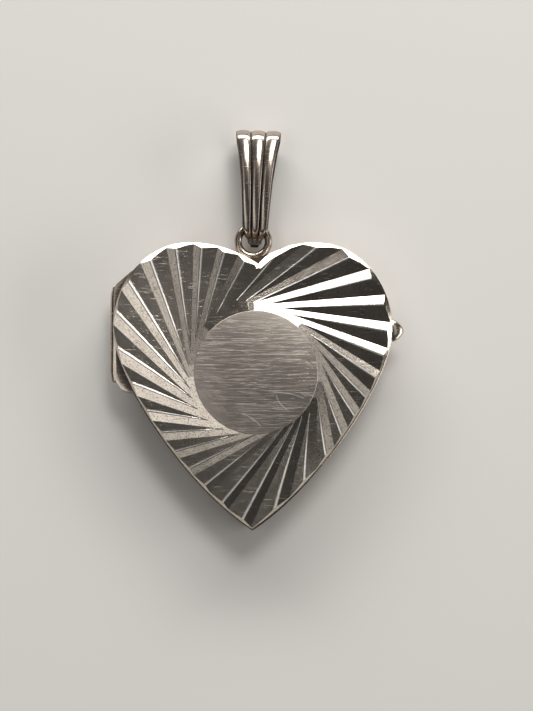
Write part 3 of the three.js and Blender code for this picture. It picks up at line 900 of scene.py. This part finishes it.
ROLL_WIDTH = 0.98
ROLL_POWER = 1.2            # above 1 keeps the rolled edge fuller
ROLL_STEPS = 12
back_profile = []
for step in range(ROLL_STEPS + 1):
    turn = math.pi / 2 * step / ROLL_STEPS
    inset = ROLL_WIDTH * (1 - math.sin(turn)) ** ROLL_POWER
    back_profile.append((inset, BACK_COVER_TOP * (1 - math.cos(turn))))
new_piece("back_shell", *loft(heart_rings(back_profile)), "back_half", "back_cover", "silver",
          smooth_angle=40)

# ---- Hinge knuckles and pin ----

KNUCKLE_RADIUS = 0.45
KNUCKLE_BORE = 0.26


def knuckle(node, body, filed_low, filed_high):
    """One tube of the hinge, whose free end is filed back."""
    low, high = span(node, 1)
    filed, run, soft = 0.16, 0.8, 0.04
    section = [(KNUCKLE_BORE, low)]
    for end, inward, is_filed in ((low, 1, filed_low), (high, -1, filed_high)):
        corner = [(KNUCKLE_RADIUS - soft, end), (KNUCKLE_RADIUS, end + inward * soft)]
        if is_filed:
            corner = [(radius - filed, y) for radius, y in corner]
            corner.append((KNUCKLE_RADIUS, end + inward * run))
        section += corner[::inward]
    section.append((KNUCKLE_BORE, high))
    rings = lathe_y(section, HINGE_X, HINGE_Z)
    new_piece(node + "_tube", *loft(rings, closed=True), body, node, "silver", smooth_angle=30)


knuckle("hinge_knuckle_lower", "back_half", True, False)
knuckle("hinge_knuckle_middle", "front_half", False, False)
knuckle("hinge_knuckle_upper", "back_half", False, True)

PIN_RADIUS = 0.22
PIN_DOME = ((0.5, 0.0), (0.85, 0.02), (1.0, 0.08))   # share of the radius, mm from the end
pin_section = [(PIN_RADIUS * share, HINGE_LOW + inward) for share, inward in PIN_DOME]
pin_section += [(PIN_RADIUS * share, HINGE_HIGH - inward) for share, inward in PIN_DOME[::-1]]
pin_rings = lathe_y(pin_section, HINGE_X, HINGE_Z, 32)
new_piece("hinge_wire", *loft([list(ring) for ring in zip(*pin_rings)]), "back_half", "hinge_pin", "silver",
          smooth_angle=40)

# ---- Thumb piece ----

THUMB_TIP = 0.13            # half the size of the blunt tip
THUMB_SIDES = 28
THUMB_STEPS = 12
THUMB_SQUARE = 0.7          # below 1 makes the section squarer than an ellipse
base_x, tip_x = span("thumb_piece", 0)
thumb_y = span("thumb_piece", 1)
thumb_z = span("thumb_piece", 2)


def thumb_section(share):
    """A rounded section that shrinks towards the tip."""
    keep = math.sqrt(max(0.0, 1 - share ** 1.5))
    middle_y = (thumb_y[0] + thumb_y[1]) / 2
    half_y = THUMB_TIP + ((thumb_y[1] - thumb_y[0]) / 2 - THUMB_TIP) * keep ** 1.5
    half_z = THUMB_TIP + ((thumb_z[1] - thumb_z[0]) / 2 - THUMB_TIP) * keep ** 1.5
    low = thumb_z[0] + 0.1 * share
    x = base_x + (tip_x - base_x) * share
    section = []
    for step in range(THUMB_SIDES):
        turn = 2 * math.pi * step / THUMB_SIDES
        across, up = (math.copysign(abs(part) ** THUMB_SQUARE, part)
                      for part in (math.cos(turn), math.sin(turn)))
        section.append((x, middle_y + half_y * across, low + half_z * (1 + up)))
    return section


thumb_rings = [thumb_section(step / THUMB_STEPS) for step in range(THUMB_STEPS + 1)]
new_piece("thumb_catch", *loft(thumb_rings), "front_half", "thumb_piece", "silver", smooth_angle=35)

# ---- Ring and saddle ----

RING_SEAM = math.radians(-81.0)    # where the wire's ends meet
SEAM_TURN = 0.022                  # half the joint's width, in radians
SEAM_DEPTH = 0.16                  # as a share of the wire's radius
WIRE_CLEARANCE = 0.025             # between the saddle and the wire
CORE_HEIGHT = 4.0                  # of the heart's wall that the saddle is cut back from


def ring_mesh(wire, around=96, section=28):
    """The wire ring, pinched a little where its ends meet."""
    turns = [-SEAM_TURN, 0.0, SEAM_TURN]
    turns += [SEAM_TURN + (2 * math.pi - 2 * SEAM_TURN) * step / around for step in range(1, around)]
    rings = []
    for turn in turns:
        angle = RING_SEAM + turn
        thin = wire * (1 - SEAM_DEPTH) if turn == 0.0 else wire
        sides = [2 * math.pi * side / section for side in range(section)]
        rings.append([(RING_X + (RING_RADIUS + thin * math.cos(side)) * math.cos(angle),
                       RING_Y + (RING_RADIUS + thin * math.cos(side)) * math.sin(angle),
                       RING_Z + thin * math.sin(side)) for side in sides])
    return loft(rings, closed=True)


new_piece("ring_wire", *ring_mesh(WIRE), "back_half", "suspension_ring", "silver", smooth_angle=40)

saddle_z = span("ring_saddle", 2)
saddle_outline = ((-1.25, 11.0), (0.4, 10.2), (1.4, 10.9), (1.4, 11.62), (-1.25, 11.55))
saddle = plain_object("saddle", *loft([[(x, y, z) for x, y in saddle_outline] for z in saddle_z]))
wall_core = plain_object("core", *loft(heart_rings([(-SEAM, 0.0), (-SEAM, CORE_HEIGHT)])))
cut_out(saddle, wall_core)
cut_out(saddle, plain_object("wire", *ring_mesh(WIRE + WIRE_CLEARANCE)))
finish_piece(saddle, "back_half", "ring_saddle", "silver", smooth_angle=30)

# ---- Bail ----

BAIL_LEAN = math.radians(-2.0)
BAIL_AXIS = Vector((0.22, RING_Y + RING_RADIUS, RING_Z))
LOOP_RADIUS = 1.2
LOOP_UP = 7.0
FRONT_BULGE = math.radians(15.0)
BACK_BULGE = math.radians(5.0)
EYE_RADIUS = 0.95
PINCH_RADIUS = 0.45
PINCH_GAP = 0.025
TAB_END = -1.7
RIBS = 3
RIB_STEPS = 14
LEAF_THICKNESS = 0.16
RIB_HEIGHT = 0.19
FLAT_SHARE = 0.35           # of the ribs' height, kept where they run out into the tab
BACK_TAB_EXTRA = 0.15
TAB_STEPS = 8
# (height above the swing axis, half the strip's width)
HALF_WIDTHS = (
    (-1.7, 0.3), (-1.62, 0.45), (-1.45, 0.59), (-1.2, 0.63), (-1.02, 0.64), (-0.66, 0.92), (-0.3, 1.1),
    (1.5, 1.2), (2.6, 1.27), (4.3, 1.4), (6.05, 1.63), (6.9, 1.76), (7.75, 1.94), (8.4, 2.0),
)


def leaf_line(bulge):
    """A leaf's side line from the loop's top to the tab's end: (depth, up, normal depth, normal up)."""
    spread = LOOP_RADIUS - EYE_RADIUS
    sweep_to_loop = (LOOP_UP ** 2 - spread ** 2) / (2 * (spread + LOOP_UP * math.sin(bulge)))
    sweep_radius = sweep_to_loop + LOOP_RADIUS
    sweep_depth = -sweep_to_loop * math.cos(bulge)
    sweep_up = LOOP_UP - sweep_to_loop * math.sin(bulge)
    eye_turn = -math.asin(sweep_up / (sweep_radius - EYE_RADIUS))
    pinch_up = -math.sqrt((EYE_RADIUS + PINCH_RADIUS) ** 2 - (PINCH_GAP + PINCH_RADIUS) ** 2)
    pinch_turn = math.atan2(pinch_up, PINCH_GAP + PINCH_RADIUS)
    line = []

    def arc(depth, up, radius, start, stop, steps, side):
        if line:
            line.pop()
        for step in range(steps + 1):
            angle = start + (stop - start) * step / steps
            out = (math.cos(angle), math.sin(angle))
            line.append((depth + radius * out[0], up + radius * out[1], side * out[0], side * out[1]))

    arc(0.0, LOOP_UP, LOOP_RADIUS, math.pi / 2, bulge, 22, 1)
    arc(sweep_depth, sweep_up, sweep_radius, bulge, eye_turn, 30, 1)
    arc(0.0, 0.0, EYE_RADIUS, eye_turn, pinch_turn, 16, 1)
    arc(PINCH_GAP + PINCH_RADIUS, pinch_up, PINCH_RADIUS, pinch_turn + math.pi, math.pi, 10, -1)
    for step in range(1, TAB_STEPS + 1):
        line.append((PINCH_GAP, pinch_up + (TAB_END - pinch_up) * step / TAB_STEPS, 1.0, 0.0))
    return line


def half_width(up):
    """Half the strip's width at a height above the swing axis."""
    if up <= HALF_WIDTHS[0][0]:
        return HALF_WIDTHS[0][1]
    for (low, narrow), (high, wide) in zip(HALF_WIDTHS, HALF_WIDTHS[1:]):
        if up <= high:
            return narrow + (wide - narrow) * (up - low) / (high - low)
    return HALF_WIDTHS[-1][1]


def crest_at(step):
    """Height of the ribs' half-round crests across the leaf, 0 in the grooves and on the inside."""
    within = (step / RIB_STEPS) % 1
    return math.sqrt(max(0.0, 1 - (2 * within - 1) ** 2)) if step < RIBS * RIB_STEPS else 0.0


def leaf_section(depth, up, out_depth, out_up):
    """One closed ring of the strip's section: the ribs outside, flat inside."""
    half = half_width(up)
    ribbed = smooth_step(up, -1.3, -0.5)
    turn = Matrix.Rotation(BAIL_LEAN, 3, "Z")

    def at(across, out):
        return tuple(BAIL_AXIS + turn @ Vector((across, up + out_up * out, depth + out_depth * out)))

    steps = RIBS * RIB_STEPS
    section = []
    for step in range(steps + 1):
        across = half * (2 * step / steps - 1)
        crest = FLAT_SHARE + (crest_at(step) - FLAT_SHARE) * ribbed
        section.append(at(across, LEAF_THICKNESS + RIB_HEIGHT * crest))
    return section + [at(half, 0.0), at(-half, 0.0)]


front_leaf = leaf_line(FRONT_BULGE)
back_leaf = []
for depth, up, out_depth, out_up in leaf_line(BACK_BULGE)[1:]:
    back_leaf.append((-depth, up, -out_depth, out_up))
depth, up, out_depth, out_up = back_leaf[-1]
back_leaf[-1] = (depth, up - BACK_TAB_EXTRA, out_depth, out_up)
bail_line = back_leaf[::-1] + front_leaf
bail_rings = [leaf_section(*station) for station in bail_line]
bail_verts, bail_faces = loft(bail_rings)
flute = [crest_at(index) for index in range(len(bail_rings[0]))]
bail_height = LOOP_UP + LOOP_RADIUS
heights = [max(0.0, up) / bail_height for _, up, _, _ in bail_line]
bail_corners = [corner for face in bail_faces for corner in face]
flute_map = [(flute[corner % len(flute)], heights[corner // len(flute)]) for corner in bail_corners]
bail = new_piece("fluted_bail", bail_verts, bail_faces, "bail", "bail", "silver",
                 corner_maps={"Flute": flute_map}, smooth_angle=50)
bail.data.materials[0] = BAIL_SILVER

# ---- Inside: rim, photo frames, windows and cards ----

BAND_EDGE = 0.05
WINDOW_INSET = 0.72


def inside_band(name, node, body, outer, inner):
    """A band round the heart between two insets."""
    low, high = span(node, 2)
    section = rounded_band(outer, inner, low, high, BAND_EDGE)
    new_piece(name, *loft(heart_rings(section), closed=True), body, node, "satin_silver", smooth_angle=50)


def inside_sheet(name, node, body, slot):
    """A heart-shaped sheet with softened edges."""
    low, high = span(node, 2)
    inset, soft = WINDOW_INSET, SOFT_EDGE
    section = [(inset + soft, low), (inset, low + soft), (inset, high - soft), (inset + soft, high)]
    new_piece(name, *loft(heart_rings(section)), body, node, slot, smooth_angle=30)


inside_band("rim_band", "snap_rim", "back_half", 0.68, 1.0)
inside_band("back_picture_frame", "back_photo_frame", "back_half", 1.05, 1.9)
inside_band("front_picture_frame", "front_photo_frame", "front_half", 0.72, 1.55)
for slot, piece, node in (("clear_acetate", "window", "photo_window"), ("ivory_card", "card", "photo_blank")):
    for half in ("back", "front"):
        inside_sheet(f"{half}_{piece}", f"{half}_{node}", f"{half}_half", slot)

# The click bead keeps its CAD shape and takes the rim's look.
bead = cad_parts["snap_bead"]
bead.data.materials.clear()
bead.data.materials.append(MATERIALS["satin_silver"])

# ---- Floor, light and camera ----

FLOOR_COLOUR = (0.78, 0.76, 0.73, 1)
FLOOR_SIZE = 2.0
LAMP_COLOUR = (1.0, 0.985, 0.96)
ROOM_COLOUR = (0.055, 0.054, 0.054, 1)


def stage_floor():
    bpy.ops.mesh.primitive_plane_add(size=FLOOR_SIZE, location=(0, 0, 0))
    floor = bpy.context.object
    floor.name = "floor"
    paper = bpy.data.materials.new("floor_paper")
    paper.use_nodes = True
    shader = paper.node_tree.nodes["Principled BSDF"]
    shader.inputs["Base Color"].default_value = FLOOR_COLOUR
    shader.inputs["Roughness"].default_value = 0.9
    floor.data.materials.append(paper)


def softbox(name, azimuth, polar, distance, size, power):
    """A soft panel, placed by its angles clockwise from +Y and down from straight above, in degrees."""
    turn, fall = math.radians(azimuth), math.radians(polar)
    lamp = bpy.data.lights.new(name, "AREA")
    lamp.shape = "RECTANGLE"
    lamp.size, lamp.size_y = size
    lamp.energy = power
    lamp.color = LAMP_COLOUR
    holder = bpy.data.objects.new(name, lamp)
    bpy.context.scene.collection.objects.link(holder)
    towards = Vector((math.sin(fall) * math.sin(turn), math.sin(fall) * math.cos(turn), math.cos(fall)))
    holder.location = distance * towards
    holder.rotation_euler = (-holder.location).to_track_quat("-Z", "Y").to_euler()


# Names, azimuth and polar angle in degrees, distance and size in metres, power in watts.
stage_floor()
softbox("key", 18.0, 37.0, 0.45, (0.16, 0.12), 0.55)
softbox("fill", 244.0, 27.0, 0.45, (0.27, 0.15), 0.15)
softbox("left_fill", 300.0, 30.0, 0.45, (0.20, 0.12), 0.032)
softbox("right_fill", 68.0, 32.0, 0.45, (0.22, 0.12), 0.045)
softbox("low_fill", 190.0, 25.0, 0.45, (0.16, 0.12), 0.035)
softbox("back", 0.0, 66.0, 0.50, (0.80, 0.14), 3.0)
softbox("side", 100.0, 70.0, 0.60, (0.50, 0.16), 1.2)

world = bpy.data.worlds.new("studio")
world.use_nodes = True
room = world.node_tree.nodes["Background"]
room.inputs["Color"].default_value = ROOM_COLOUR
room.inputs["Strength"].default_value = 1.0
bpy.context.scene.world = world
bpy.context.scene.view_settings.view_transform = "Standard"

VIEW_CENTRE = Vector((1.209, 2.634, 2.6)) * MM
VIEW_HEIGHT = 61.75 * MM
VIEW_DISTANCE = 0.17
ELEVATION = math.radians(84.0)

camera_data = bpy.data.cameras.new("camera")
camera = bpy.data.objects.new("camera", camera_data)
bpy.context.scene.collection.objects.link(camera)
camera_data.sensor_fit = "VERTICAL"
camera_data.angle_y = 2 * math.atan(VIEW_HEIGHT / 2 / VIEW_DISTANCE)
camera_data.clip_start = 0.005
camera_data.clip_end = 10.0
camera.location = VIEW_CENTRE + VIEW_DISTANCE * Vector((0.0, -math.cos(ELEVATION), math.sin(ELEVATION)))
camera.rotation_euler = (VIEW_CENTRE - camera.location).to_track_quat("-Z", "Y").to_euler()
bpy.context.scene.camera = camera
